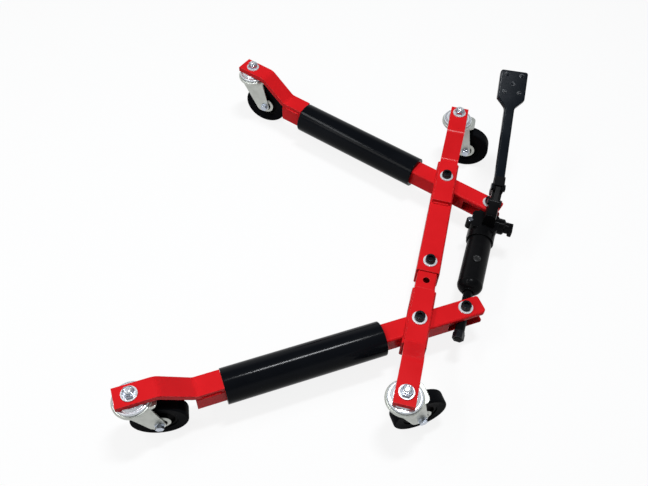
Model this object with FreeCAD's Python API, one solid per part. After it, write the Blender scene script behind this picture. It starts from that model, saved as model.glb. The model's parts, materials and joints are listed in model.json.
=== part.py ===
import FreeCAD, Part
import math
import os

V = FreeCAD.Vector
X_AXIS = V(1, 0, 0)
Y_AXIS = V(0, 1, 0)
Z_AXIS = V(0, 0, 1)

# Overrun of every cut past the face that it opens
overrun = 1.0
# Radial clearance of a turning fit, and of a bolt or nut that is only fastened
running_clear = 0.06
bolt_clear = 0.2
# Gap between faces that pass each other, and above the rod and the tongue in the slots of the tails
swing_gap = 0.3
slot_gap = 0.5

# Square tube of the arms and the slider; the sleeve tube goes over it
arm_side = 38.0
arm_wall = 3.0
tube_corner = 4.0
sleeve_wall = 3.0
sleeve_clear = 0.5
# Height of the middle of every tube above the floor
arm_height = 66.5

# Cross frame, measured from its middle along its length
pivot_gap = 355.0
sleeve_near_end = 64.2
slider_far_end = 72.0
slider_seat = 26.0
bracket_lead = 30.0
window_margin = 2.0
window_band = 10.0
lock_bolt_place = 40.3
hole_pitch = 42.7
hole_count = 4
adjusting_hole = 13.0

# Flat bars bent in an S that carry the casters
bar_width = 37.0
bar_thick = 10.0
bar_bend_radius = 18.0
bar_slope = 37.0
far_bar_lead = 68.8
near_bar_lead = 66.5
frame_bend_lead = 51.5
far_caster_reach = 156.0
near_caster_reach = 166.0
far_bar_tip = 18.0
near_bar_tip = 22.0

# Arms: the swing angles are measured from square to the cross frame
far_arm_angle = 20.45
near_arm_angle = 33.66
tail_length = 128.0
far_tail_margin = 25.5
near_tail_margin = 33.0
tail_slot_length = 73.0
tail_slot_under = 14.0
tail_corner = 7.0
arm_caster_reach = 507.0
arm_bar_run = 96.0
arm_bar_seat = 49.5
arm_bend_back = 1.5
arm_bar_tip = 26.0
bush_wall = 4.0

# Rollers: steel pipe that turns on the corners of the arm tube
roller_start = 70.0
roller_wall = 6.2
roller_clear = 0.35
roller_edge = 1.2
roller_end_gap = 0.5

# Twelve millimetre fasteners
bolt_dia = 12.0
cap_head_dia = 18.5
cap_head_height = 10.0
cap_edge = 1.2
cap_socket = 10.0
cap_socket_depth = 6.0
washer_dia = 27.0
washer_thick = 2.5
nut_across = 19.0
nut_height = 10.0
nut_chamfer_angle = 30.0
nut_hex_share = 0.72
nut_collar_dia = 16.2
nut_collar_roll = 1.4
bolt_end = 4.0

# Casters: wheel, fork and double swivel race
wheel_dia = 97.0
wheel_width = 25.0
wheel_shoulder = 3.5
tyre_bore_dia = 62.0
tyre_side_step = 1.6
hub_rim_wall = 5.0
hub_web = 9.0
hub_boss_dia = 26.0
caster_trail = 33.5
fork_side_clear = 4.0
leg_thick = 3.0
yoke_reach = 39.0
yoke_corner = 10.0
leg_foot_radius = 14.0
crown_dia = 66.0
crown_thick = 8.0
crown_roll = 3.2
crown_wheel_gap = 14.0
race_dia = 60.0
race_thick = 8.7
race_roll = 2.4
race_top_dia = 42.0
race_drop = 3.2
stem_flange_dia = 27.0
stem_flange_thick = 3.5
stem_dome = 3.0
axle_dia = 10.0
axle_hex = 13.0
axle_hex_height = 6.0
axle_washer_dia = 17.0
axle_washer_thick = 1.4
far_arm_trail_angle = 354.0
far_frame_trail_angle = 0.5
near_frame_trail_angle = 33.0
near_arm_trail_angle = 22.3

# Hydraulic ram; lengths run from the far tail bolt towards the near one
ram_dia = 48.0
ram_bore_dia = 30.0
block_near = 76.0
block_far = 34.0
collar_length = 17.0
collar_wall = 3.0
dome_start = 198.0
dome_end = 217.0
dome_tip_dia = 25.0
gland_length = 3.0
bore_start = 100.0
bore_end = 212.0
rod_dia = 18.0
piston_length = 18.0
piston_clear = 0.3
rod_eye_dia = 26.0
rod_past_pin = 42.0
rod_thread_dia = 13.0
rod_nut_across = 19.0
rod_nut_length = 12.5
rod_ring_dia = 20.0
rod_ring_length = 3.0
rod_tip = 0.8
# Room at the pivot between the rod and the near arm
open_pivot_clear = 0.95
filler_place = 154.0
filler_dia = 15.0
filler_height = 2.4
filler_sink = 4.0

# Pump block: a casting with a tongue, an ear and a valve boss
block_width = 54.0
block_height = 50.0
block_corner = 8.0
tongue_width = 28.0
ear_side = 29.0
ear_place = 58.0
ear_dia = 15.0
ear_top = 20.0
ear_height = 20.0
bleed_head_dia = 11.4
bleed_spot_dia = 13.0
bleed_head_height = 3.0
bleed_shank_dia = 6.0
bleed_slot = 1.6
bleed_slot_angle = 27.0
valve_place = 47.0
valve_height = 10.0
valve_boss_dia = 32.0
valve_boss_end = 40.3
valve_boss_chamfer = 2.5
valve_stem_dia = 12.0
valve_depth = 18.0
grip_neck_dia = 23.0
grip_neck_length = 7.5
grip_reach = 56.5
grip_length = 25.0
grip_shift = 3.0
grip_thick = 13.0
grip_waist_share = 0.8
grip_corner_share = 0.25

# Pump head: plunger bore, rib and pedal fulcrum, turned to the pedal's own line
pedal_yaw = 3.6
fulcrum_side = 6.0
fulcrum_place = 5.2
fulcrum_height = 74.0
head_width = 24.0
head_near = 64.0
head_far = 34.0
head_step = 4.0
plunger_height = 46.0
plunger_dia = 12.0
plunger_in = 9.0
plunger_bore = 26.0
flange_dia = 20.0
flange_thick = 3.0
flange_place = -7.0
plunger_cap_dia = 9.0
rib_thick = 9.0
brace_width = 19.0
knuckle_width = 12.2
rib_eye_radius = 10.0
rib_root_radius = 8.0
rib_root_back = 35.0
rib_root_drop = 8.0
pump_bolt_dia = 8.0
pump_bolt_hex = 13.0
pump_bolt_head = 3.5

# Return spring round the plunger
spring_wire = 2.0
spring_dia = 17.5
spring_turns = 5
spring_steps_per_turn = 4

# Pedal fork and lever
cheek_thick = 3.5
cheek_gap = 0.4
cheek_eye_radius = 11.0
cheek_heel_radius = 8.0
heel_ahead = 14.0
heel_drop = 30.0
heel_pin_dia = 10.0
fork_root_radius = 8.0
fork_tongue_end = 62.0
fork_tongue_thick = 8.0
bridge_start = 1.0
bridge_height = 10.8
bridge_thick = 3.0
pedal_lift = 28.0
lever_start = 19.0
lever_width = 19.6
lever_depth = 12.0
lever_sheet = 3.0
lever_length = 246.0
plate_width = 54.5
plate_length = 60.0
plate_shoulder = 19.0
plate_corner = 5.0
shoulder_radius = 14.0
lever_edge = 2.4
stud_dia = 8.0
stud_tip_dia = 4.0
stud_height = 2.2
stud_side_share = 0.27
stud_end_share = 0.16
stud_span_share = 0.62

# Sizes that follow from the ones above
arm_half = arm_side / 2
sleeve_side = arm_side + 2 * (sleeve_wall + sleeve_clear)
sleeve_half = sleeve_side / 2
pivot_reach = pivot_gap / 2
far_tail_reach = tail_length - far_tail_margin
near_tail_reach = tail_length - near_tail_margin
tail_slot_start = tail_length - tail_slot_length
tail_slot_over = rod_dia / 2 + slot_gap
arm_tube_end = arm_caster_reach - arm_bar_run
arm_bar_start = arm_tube_end - arm_bar_seat
roller_end = arm_bar_start - roller_end_gap
widest_angle = math.radians(max(far_arm_angle, near_arm_angle))
window_half = sleeve_half * math.tan(widest_angle) + arm_half / math.cos(widest_angle) + window_margin
frame_end = pivot_reach + window_half + window_band
bracket_start = pivot_reach - window_half - bracket_lead
corner_reach = (arm_half - tube_corner) * math.sqrt(2) + tube_corner
roller_bore = corner_reach + roller_clear
roller_radius = roller_bore + roller_wall
bolt_radius = bolt_dia / 2
wheel_radius = wheel_dia / 2
crown_bottom = wheel_dia + crown_wheel_gap
race_bottom = crown_bottom + crown_thick + swing_gap
caster_height = race_bottom + race_thick
fork_half = wheel_width / 2 + fork_side_clear
far_swing = math.radians(far_arm_angle)
near_swing = math.radians(near_arm_angle)
far_tail = V(far_tail_reach * math.cos(far_swing), pivot_reach - far_tail_reach * math.sin(far_swing),
             arm_height)
near_tail = V(near_tail_reach * math.cos(near_swing), near_tail_reach * math.sin(near_swing) - pivot_reach,
              arm_height)
ram_line = far_tail - near_tail
pin_distance = ram_line.Length
ram_yaw = -math.degrees(math.atan2(ram_line.x, ram_line.y))
pedal_skew = math.radians(abs(pedal_yaw - ram_yaw))
rib_half = rib_thick / 2
knuckle_half = knuckle_width / 2
cheek_inner = knuckle_half + cheek_gap
cheek_outer = cheek_inner + cheek_thick
fork_root = lever_start - fork_root_radius


def at(shape, x, y, z, yaw=0):
    """A copy turned about the upright axis, then moved into place."""
    moved = shape.copy()
    moved.rotate(V(0, 0, 0), Z_AXIS, yaw)
    moved.translate(V(x, y, z))
    return moved


def block(x0, x1, y0, y1, z0, z1):
    return Part.makeBox(x1 - x0, y1 - y0, z1 - z0, V(x0, y0, z0))


def pin(radius, start, end):
    """A round bar from one point to another."""
    line = end - start
    return Part.makeCylinder(radius, line.Length, start, line)


def corner_arc(before, corner, after, radius):
    """Start, middle and end of the arc that rounds one corner."""
    back = (before - corner).normalize()
    ahead = (after - corner).normalize()
    half = back.getAngle(ahead) / 2
    cut = radius / math.tan(half)
    middle = corner + (back + ahead).normalize() * (radius / math.sin(half) - radius)
    return corner + back * cut, middle, corner + ahead * cut


def rounded_edges(points, radii, closed):
    """Straight runs through the points, each corner rounded by its radius."""
    count = len(points)
    edges = []
    place = None
    first = None
    for index in range(count):
        inner = closed or 0 < index < count - 1
        if inner and radii[index] > 0:
            stops = corner_arc(points[index - 1], points[index], points[(index + 1) % count], radii[index])
        else:
            stops = (points[index],)
        if place is not None and place.distanceToPoint(stops[0]) > Part.Precision.confusion():
            edges.append(Part.LineSegment(place, stops[0]).toShape())
        if len(stops) > 1:
            edges.append(Part.Arc(*stops).toShape())
        if first is None:
            first = stops[0]
        place = stops[-1]
    if closed and place.distanceToPoint(first) > Part.Precision.confusion():
        edges.append(Part.LineSegment(place, first).toShape())
    return edges


def outline(points, radii):
    """A flat face with rounded corners."""
    return Part.Face(Part.Wire(rounded_edges(points, radii, True)))


def turned(points, radii, axis=Z_AXIS):
    """A solid of revolution about an axis through the origin."""
    return outline(points, radii).revolve(V(0, 0, 0), axis, 360)


def hexagon(across, z0, z1):
    radius = across / math.sqrt(3)
    ring = [V(radius * math.cos(k * math.pi / 3), radius * math.sin(k * math.pi / 3), z0) for k in range(6)]
    return Part.Face(Part.makePolygon(ring + ring[:1])).extrude(V(0, 0, z1 - z0))


def long_round(side, corner, x0, x1):
    """A square bar along X with rounded long edges."""
    half = side / 2
    corners = [V(x0, -half, -half), V(x0, half, -half), V(x0, half, half), V(x0, -half, half)]
    return outline(corners, [corner] * 4).extrude(V(x1 - x0, 0, 0))


def square_tube(side, wall, corner, x0, x1):
    hollow = long_round(side - 2 * wall, corner - wall, x0 - overrun, x1 + overrun)
    return long_round(side, corner, x0, x1).cut(hollow)


def upright_hole(radius, x, y, reach):
    return Part.makeCylinder(radius, 2 * reach, V(x, y, -reach), Z_AXIS)


def link_plate(start, start_radius, end, end_radius, thick):
    """A plate in the Y-Z plane whose rounded ends sit on two points."""
    line = end - start
    lean = math.asin((start_radius - end_radius) / line.Length)
    ahead = line.normalize()
    aside = X_AXIS.cross(ahead)
    sides = []
    for sign in (1, -1):
        normal = ahead * math.sin(lean) + aside * (sign * math.cos(lean))
        sides.append((start + normal * start_radius, end + normal * end_radius))
    corners = [sides[0][0], sides[0][1], sides[1][1], sides[1][0]]
    web = Part.Face(Part.makePolygon(corners + corners[:1])).extrude(X_AXIS * thick)
    eyes = [Part.makeCylinder(r, thick, p, X_AXIS) for p, r in ((start, start_radius), (end, end_radius))]
    return web.fuse(eyes).removeSplitter()


# Fasteners


def cap_bolt(grip):
    """A socket-head bolt, its seat at zero and its shank reaching past the nut."""
    head_radius = cap_head_dia / 2
    shank = bolt_radius
    reach = grip + washer_thick + nut_height + bolt_end
    profile = [V(0, 0, -reach), V(shank, 0, -reach), V(shank, 0, 0), V(head_radius, 0, 0),
               V(head_radius, 0, cap_head_height), V(0, 0, cap_head_height)]
    bolt = turned(profile, [0, 0, 0, 0, cap_edge, 0])
    return bolt.cut(hexagon(cap_socket, cap_head_height - cap_socket_depth, cap_head_height + overrun))


def washer():
    ring = Part.makeCylinder(washer_dia / 2, washer_thick)
    return ring.cut(upright_hole(bolt_radius + bolt_clear, 0, 0, washer_thick + overrun))


def nut():
    """A lock nut: a hexagon with its upper corners turned off, and a round collar on top."""
    radius = nut_across / math.sqrt(3)
    hex_top = nut_height * nut_hex_share
    lift = (radius - nut_across / 2) * math.tan(math.radians(nut_chamfer_angle))
    profile = [V(0, 0, 0), V(radius, 0, 0), V(radius, 0, hex_top - lift),
               V(nut_across / 2, 0, hex_top), V(0, 0, hex_top)]
    body = hexagon(nut_across, 0, hex_top).common(turned(profile, [0] * 5))
    collar_radius = nut_collar_dia / 2
    collar = [V(0, 0, 0), V(collar_radius, 0, 0), V(collar_radius, 0, nut_height), V(0, 0, nut_height)]
    body = body.fuse(turned(collar, [0, 0, nut_collar_roll, 0])).removeSplitter()
    return body.cut(upright_hole(bolt_radius + bolt_clear, 0, 0, nut_height + overrun))


def bolted_set(top, bottom):
    """Bolt, two washers and a nut through tubes between two heights."""
    bolt = at(cap_bolt(top - bottom + washer_thick), 0, 0, top + washer_thick)
    washers = [at(washer(), 0, 0, top), at(washer(), 0, 0, bottom - washer_thick)]
    lower_nut = nut().mirror(V(0, 0, 0), Z_AXIS)
    return bolt, washers, at(lower_nut, 0, 0, bottom - washer_thick)


# Bars and tubes


def caster_bar(start, bend, low, stem_place, tip, bolt_place=None):
    """A flat bar along X that climbs in an S to the height of the caster."""
    high = caster_height + bar_thick / 2 - arm_height
    climb = (high - low) / math.tan(math.radians(bar_slope))
    line = [V(start, 0, low), V(bend, 0, low), V(bend + climb, 0, high), V(stem_place + tip, 0, high)]
    sides = []
    for offset in (bar_thick / 2, -bar_thick / 2):
        shift = offset * math.tan(math.radians(bar_slope / 2))
        moved = [line[0] + V(0, 0, offset), line[1] + V(-shift, 0, offset),
                 line[2] + V(-shift, 0, offset), line[3] + V(0, 0, offset)]
        radii = [0, bar_bend_radius - offset, bar_bend_radius + offset, 0]
        sides.append(rounded_edges(moved, radii, False))
    ends = []
    for end in (line[0], line[3]):
        lift = V(0, 0, bar_thick / 2)
        ends.append(Part.LineSegment(end - lift, end + lift).toShape())
    face = Part.Face(Part.Wire(Part.__sortEdges__(sides[0] + sides[1] + ends)))
    bar = face.extrude(V(0, bar_width, 0))
    bar.translate(V(0, -bar_width / 2, 0))
    reach = high + bar_thick + overrun
    holes = [upright_hole(bolt_radius + bolt_clear, stem_place, 0, reach)]
    if bolt_place is not None:
        holes.append(upright_hole(bolt_radius + bolt_clear, bolt_place, 0, reach))
    return bar.cut(holes)


def window(place):
    """The opening through both side walls that an arm swings in."""
    half = arm_half + sleeve_clear
    reach = sleeve_half + overrun
    return block(place - window_half, place + window_half, -reach, reach, -half, half)


def frame_sleeve():
    tube = square_tube(sleeve_side, sleeve_wall, tube_corner, -sleeve_near_end, frame_end)
    radius = bolt_radius + bolt_clear
    holes = [upright_hole(radius, x, 0, sleeve_side) for x in (pivot_reach, -lock_bolt_place)]
    return tube.cut([window(pivot_reach)] + holes)


def near_bracket():
    tube = square_tube(sleeve_side, sleeve_wall, tube_corner, -frame_end, -bracket_start)
    hole = upright_hole(bolt_radius + bolt_clear, -pivot_reach, 0, sleeve_side)
    return tube.cut([window(-pivot_reach), hole])


def frame_slider():
    tube = square_tube(arm_side, arm_wall, tube_corner, -bracket_start - slider_seat, slider_far_end)
    holes = []
    for step in range(hole_count):
        place = -lock_bolt_place + (step - 1) * hole_pitch
        holes.append(upright_hole(adjusting_hole / 2, place, 0, arm_side))
    return tube.cut(holes)


def arm_tube(tail_reach):
    """A square tube along X from its slotted tail to the end under the bar."""
    tube = square_tube(arm_side, arm_wall, tube_corner, -tail_length, arm_tube_end)
    reach = arm_half + overrun
    plan = [V(-tail_length, -arm_half, -reach), V(arm_tube_end, -arm_half, -reach),
            V(arm_tube_end, arm_half, -reach), V(-tail_length, arm_half, -reach)]
    tube = tube.common(outline(plan, [tail_corner, 0, 0, tail_corner]).extrude(V(0, 0, 2 * reach)))
    slot = block(-tail_length - overrun, -tail_slot_start, -reach, reach, -tail_slot_under, tail_slot_over)
    bush_hole = upright_hole(bolt_radius + bush_wall + running_clear, 0, 0, reach)
    tail_hole = upright_hole(bolt_radius + bolt_clear, -tail_reach, 0, reach)
    return tube.cut([slot, bush_hole, tail_hole])


def pivot_bush():
    bush = Part.makeCylinder(bolt_radius + bush_wall, arm_side, V(0, 0, -arm_half))
    return bush.cut(upright_hole(bolt_radius + running_clear, 0, 0, arm_side))


def roller():
    """A length of pipe along X with its edges broken."""
    profile = [V(roller_start, 0, roller_bore), V(roller_end, 0, roller_bore),
               V(roller_end, 0, roller_radius), V(roller_start, 0, roller_radius)]
    return turned(profile, [0, 0, roller_edge, roller_edge], X_AXIS)


# Casters, built with the swivel axis at the origin, the floor at zero and the trail along X


def upper_race():
    """The pressed upper plate of the swivel, fixed under the bar."""
    hole = bolt_radius + bolt_clear
    top = race_bottom + race_thick
    profile = [V(hole, 0, race_bottom), V(race_dia / 2, 0, race_bottom), V(race_dia / 2, 0, top - race_drop),
               V(race_top_dia / 2 + race_drop, 0, top - race_drop), V(race_top_dia / 2, 0, top),
               V(hole, 0, top)]
    return turned(profile, [0, race_roll, race_roll, race_roll, race_roll, 0])


def caster_stem():
    """The bolt that the fork turns on, with a flange below and a domed end above."""
    flange = crown_bottom - swing_gap
    foot = flange - stem_flange_thick
    top = caster_height + bar_thick + washer_thick + nut_height + stem_dome
    profile = [V(0, 0, foot), V(stem_flange_dia / 2, 0, foot), V(stem_flange_dia / 2, 0, flange),
               V(bolt_radius, 0, flange), V(bolt_radius, 0, top), V(0, 0, top)]
    return turned(profile, [0, 0, 0, 0, stem_dome, 0])


def caster_fork():
    """A pressed crown with a rolled rim and two legs that narrow to the axle."""
    top = crown_bottom + crown_thick
    hole = bolt_radius + running_clear
    profile = [V(hole, 0, crown_bottom), V(crown_dia / 2, 0, crown_bottom),
               V(crown_dia / 2, 0, top), V(hole, 0, top)]
    crown = turned(profile, [0, crown_roll, crown_roll, 0])
    leg_outer = fork_half + leg_thick
    rim = crown_dia / 2 - crown_roll
    chord = math.sqrt(rim ** 2 - leg_outer ** 2)
    shoulder = crown_bottom + crown_roll
    foot = leg_foot_radius
    yoke = [V(-chord, -leg_outer, shoulder), V(yoke_reach, -leg_outer, shoulder),
            V(yoke_reach, leg_outer, shoulder), V(-chord, leg_outer, shoulder)]
    legs = [outline(yoke, [0, yoke_corner, yoke_corner, 0]).extrude(V(0, 0, leg_thick))]
    for side in (fork_half, -leg_outer):
        corners = [V(-chord, side, shoulder), V(caster_trail - foot, side, wheel_radius - foot),
                   V(caster_trail + foot, side, wheel_radius - foot),
                   V(yoke_reach - yoke_corner, side, shoulder)]
        legs.append(outline(corners, [0, foot, foot, 0]).extrude(V(0, leg_thick, 0)))
    bore = pin(axle_dia / 2 + bolt_clear, V(caster_trail, -crown_dia, wheel_radius),
               V(caster_trail, crown_dia, wheel_radius))
    return crown.fuse(legs).removeSplitter().cut([bore, upright_hole(hole, 0, 0, caster_height)])


def hex_along_y(across, y0, y1):
    prism = hexagon(across, y0, y1)
    prism.rotate(V(0, 0, 0), X_AXIS, -90)
    return prism


def caster_axle():
    """Axle bolt with its head on the near leg, and a washer and nut on the far one."""
    leg_outer = fork_half + leg_thick
    seat = leg_outer + axle_washer_thick
    head = hex_along_y(axle_hex, -seat - axle_hex_height, -seat)
    tip = seat + axle_hex_height + stem_dome
    shank = pin(axle_dia / 2, V(0, -seat, 0), V(0, tip, 0))
    lock = hex_along_y(axle_hex, seat, seat + axle_hex_height)
    hole = pin(axle_dia / 2 + bolt_clear, V(0, -tip, 0), V(0, tip, 0))
    pieces = [head.fuse(shank), lock.cut(hole)]
    for y in (leg_outer, -seat):
        disc = pin(axle_washer_dia / 2, V(0, y, 0), V(0, y + axle_washer_thick, 0))
        pieces.append(disc.cut(hole))
    group = Part.makeCompound(pieces)
    group.translate(V(caster_trail, 0, wheel_radius))
    return group


def caster_tyre():
    """A solid tyre with a flat tread and slightly drawn-in side walls."""
    half = wheel_width / 2
    bore = tyre_bore_dia / 2
    wall = half - tyre_side_step
    step = wheel_radius - wheel_shoulder
    profile = [V(bore, -wall, 0), V(step, -half, 0), V(wheel_radius, -half, 0),
               V(wheel_radius, half, 0), V(step, half, 0), V(bore, wall, 0)]
    bend = wheel_shoulder - running_clear
    tyre = turned(profile, [0, 0, bend, bend, 0, 0], Y_AXIS)
    tyre.translate(V(caster_trail, 0, wheel_radius))
    return tyre


def caster_hub():
    """Rim, web and boss in one moulding, bored for the axle."""
    rim = tyre_bore_dia / 2 - running_clear
    inner = rim - hub_rim_wall
    half_rim = wheel_width / 2 - 2 * tyre_side_step
    half_web = hub_web / 2
    half_boss = fork_half - swing_gap
    boss = hub_boss_dia / 2
    bore = axle_dia / 2 + running_clear
    profile = [V(bore, -half_boss, 0), V(boss, -half_boss, 0), V(boss, -half_web, 0), V(inner, -half_web, 0),
               V(inner, -half_rim, 0), V(rim, -half_rim, 0), V(rim, half_rim, 0), V(inner, half_rim, 0),
               V(inner, half_web, 0), V(boss, half_web, 0), V(boss, half_boss, 0), V(bore, half_boss, 0)]
    hub = turned(profile, [0] * len(profile), Y_AXIS)
    hub.translate(V(caster_trail, 0, wheel_radius))
    return hub


# Hydraulic ram, built with the far tail bolt at the origin, Y away from the near tail bolt and X to the right


def ram_cylinder():
    """Reservoir and pressure bore in one body, with a domed end and a gland."""
    radius = ram_dia / 2
    bore = ram_bore_dia / 2
    gland = rod_dia / 2 + open_pivot_clear
    tip = dome_tip_dia / 2
    profile = [V(0, -block_near, 0), V(radius, -block_near, 0), V(radius, -dome_start, 0)]
    bulge_share = math.sqrt(0.5)
    middle = V(tip + (radius - tip) * bulge_share, -dome_start - (dome_end - dome_start) * bulge_share, 0)
    dome = Part.Arc(profile[-1], middle, V(tip, -dome_end, 0)).toShape()
    rest = [V(tip, -dome_end, 0), V(tip, -dome_end - gland_length, 0), V(gland, -dome_end - gland_length, 0),
            V(gland, -bore_end, 0), V(bore, -bore_end, 0), V(bore, -bore_start, 0), V(0, -bore_start, 0)]
    edges = [Part.makePolygon(profile), Part.makePolygon(rest + profile[:1])]
    wire = Part.Wire(edges[0].Edges + [dome] + edges[1].Edges)
    body = Part.Face(wire).revolve(V(0, 0, 0), Y_AXIS, 360)
    pocket = radius - filler_sink
    seat = pin(filler_dia / 2 + bolt_clear, V(0, -filler_place, pocket), V(0, -filler_place, ram_dia))
    return body.cut(seat)


def filler_plug():
    """A rubber plug with a raised ring, pressed into the top of the reservoir."""
    base = ram_dia / 2 - filler_sink
    top = ram_dia / 2 + filler_height
    radius = filler_dia / 2
    lip = filler_height / 2
    profile = [V(0, 0, base), V(radius, 0, base), V(radius, 0, top), V(radius - 2 * lip, 0, top),
               V(radius - 2 * lip, 0, top - lip), V(0, 0, top - lip)]
    plug = turned(profile, [0, 0, lip / 2, 0, 0, 0])
    plug.translate(V(0, -filler_place, 0))
    return plug


def in_head(shape):
    """Moves a shape from the pump head's own place into the ram's axes."""
    return at(shape, fulcrum_side, -fulcrum_place, 0)


def in_pedal(shape):
    """Moves a shape from the pedal's own axes into those of the ram."""
    return at(shape, fulcrum_side, -fulcrum_place, 0, pedal_yaw - ram_yaw)


def pump_head():
    """The plunger housing, its foot on the block, and the rib that carries the fulcrum."""
    radius = head_width / 2
    housing = pin(radius, V(0, -head_near, plunger_height), V(0, -head_far, plunger_height))
    foot = block(-radius, radius, -head_near, -head_far - head_step, 0, plunger_height)
    root = V(-rib_half, -rib_root_back, fulcrum_height - rib_root_drop)
    eye = V(-rib_half, 0, fulcrum_height)
    rib = link_plate(root, rib_root_radius, eye, rib_eye_radius, rib_thick)
    brace_side = V(rib_half - brace_width / 2, 0, 0)
    heel = V(-rib_half, -head_near + rib_root_radius, plunger_height + rib_root_radius)
    ahead = cheek_eye_radius + cheek_outer * math.tan(pedal_skew) + rib_root_radius + slot_gap
    knee = root + (eye - root) * (1 - ahead / rib_root_back)
    spine = link_plate(heel + brace_side, rib_root_radius, root + brace_side, rib_root_radius, brace_width)
    brace = link_plate(root + brace_side, rib_root_radius, knee + brace_side, rib_root_radius, brace_width)
    boss_half = cheek_outer + swing_gap
    boss = pin(rib_root_radius, V(-boss_half, root.y, root.z), V(boss_half, root.y, root.z))
    knuckle = pin(rib_eye_radius, V(-knuckle_half, 0, fulcrum_height), V(knuckle_half, 0, fulcrum_height))
    knuckle.rotate(V(0, 0, 0), Z_AXIS, pedal_yaw - ram_yaw)
    head = housing.fuse([foot, rib, spine, brace, boss, knuckle]).removeSplitter()
    bore = pin(plunger_dia / 2 + running_clear, V(0, -head_far - plunger_bore, plunger_height),
               V(0, 0, plunger_height))
    reach = boss_half + overrun
    radius = pump_bolt_dia / 2 + running_clear
    root_hole = pin(radius, V(-reach, root.y, root.z), V(reach, root.y, root.z))
    eye_hole = pin(radius, V(-reach, 0, fulcrum_height), V(reach, 0, fulcrum_height))
    eye_hole.rotate(V(0, 0, 0), Z_AXIS, pedal_yaw - ram_yaw)
    return head.cut([bore, root_hole, eye_hole])


def valve_boss():
    """The round boss on the right of the block, with a bevelled end."""
    radius = valve_boss_dia / 2
    bevel = valve_boss_end - valve_boss_chamfer
    profile = [V(0, 0, 0), V(0, radius, 0), V(bevel, radius, 0),
               V(valve_boss_end, radius - valve_boss_chamfer, 0), V(valve_boss_end, 0, 0)]
    boss = turned(profile, [0] * len(profile), X_AXIS)
    boss.translate(V(0, -valve_place, valve_height))
    return boss


def pump_block():
    """The casting that joins the reservoir, the tongue for the tail bolt, the pump and the valve."""
    half_width = block_width / 2
    half_height = block_height / 2
    corners = [V(-half_width, -block_near, -half_height), V(half_width, -block_near, -half_height),
               V(half_width, -block_far, -half_height), V(-half_width, -block_far, -half_height)]
    body = outline(corners, [block_corner] * 4).extrude(V(0, 0, block_height))
    collar_radius = ram_dia / 2 + collar_wall
    collar = pin(collar_radius, V(0, -block_near - collar_length, 0), V(0, -block_near + block_corner, 0))
    half_tongue = tongue_width / 2
    low = -rod_dia / 2
    tongue = block(-half_tongue, half_tongue, -block_far - block_corner, 0, low, -low)
    nose = Part.makeCylinder(half_tongue, rod_dia, V(0, 0, low))
    ear = Part.makeCylinder(ear_dia / 2, ear_height, V(-ear_side, -ear_place, ear_top - ear_height))
    boss = valve_boss()
    casting = body.fuse([collar, tongue, nose, ear, boss, in_head(pump_head())]).removeSplitter()
    socket = pin(ram_dia / 2 + bolt_clear, V(0, -block_near - collar_length - overrun, 0),
                 V(0, -block_near, 0))
    tail_hole = upright_hole(bolt_radius + running_clear, 0, 0, rod_dia)
    ear_axis = V(-ear_side, -ear_place, 0)
    spot_face = pin(bleed_spot_dia / 2, ear_axis + V(0, 0, ear_top), ear_axis + V(0, 0, block_height))
    bleed_hole = pin(bleed_shank_dia / 2 + bolt_clear, ear_axis + V(0, 0, ear_top - ear_height / 2),
                     ear_axis + V(0, 0, block_height))
    valve_hole = pin(valve_stem_dia / 2 + running_clear,
                     V(valve_boss_end - valve_depth - swing_gap, -valve_place, valve_height),
                     V(valve_boss_end + overrun, -valve_place, valve_height))
    return casting.cut([socket, tail_hole, spot_face, bleed_hole, valve_hole])


def bleed_screw():
    """A slotted screw in the ear of the block."""
    head = Part.makeCylinder(bleed_head_dia / 2, bleed_head_height)
    shank = pin(bleed_shank_dia / 2, V(0, 0, -ear_height / 2 + bolt_clear), V(0, 0, 0))
    half = bleed_slot / 2
    top = bleed_head_height
    slot = block(-bleed_head_dia, bleed_head_dia, -half, half, top / 2, top + overrun)
    return at(head.fuse(shank).cut(slot), -ear_side, -ear_place, ear_top, bleed_slot_angle)


def release_valve():
    """Valve stem and neck, ending in a T-shaped grip that is narrower at its middle."""
    neck_start = valve_boss_end + swing_gap
    neck_end = neck_start + grip_neck_length
    stem = pin(valve_stem_dia / 2, V(valve_boss_end - valve_depth, 0, 0), V(neck_start, 0, 0))
    neck = pin(grip_neck_dia / 2, V(neck_start, 0, 0), V(neck_end + overrun, 0, 0))
    half = grip_length / 2
    waist = half * grip_waist_share
    low = -grip_thick / 2
    tail = (grip_reach - neck_end) * grip_waist_share
    corners = [V(neck_end, -waist, low), V(grip_reach - tail, -half, low), V(grip_reach, -half, low),
               V(grip_reach, half, low), V(grip_reach - tail, half, low), V(neck_end, waist, low)]
    grip = outline(corners, [tail * grip_corner_share] * 6).extrude(V(0, 0, grip_thick))
    grip.translate(V(0, -grip_shift, 0))
    valve = stem.fuse([neck, grip]).removeSplitter()
    valve.translate(V(0, -valve_place, valve_height))
    return valve


def ram_rod():
    """Piston, rod, the eye for the near tail bolt and a threaded end."""
    piston = ram_bore_dia / 2 - piston_clear
    rod = rod_dia / 2
    thread = rod_thread_dia / 2
    back = -bore_start - swing_gap
    pivot = -pin_distance
    end = pivot - rod_past_pin
    tip = end - rod_ring_length - rod_nut_length - rod_tip
    profile = [V(0, back, 0), V(piston, back, 0), V(piston, back - piston_length, 0),
               V(rod, back - piston_length, 0), V(rod, end, 0), V(thread, end, 0),
               V(thread, tip, 0), V(0, tip, 0)]
    shaft = turned(profile, [0] * len(profile), Y_AXIS)
    eye = Part.makeCylinder(rod_eye_dia / 2, rod_dia, V(0, pivot, -rod))
    hole = upright_hole(bolt_radius + open_pivot_clear, 0, pivot, rod_dia)
    return shaft.fuse(eye).removeSplitter().cut(hole)


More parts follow.
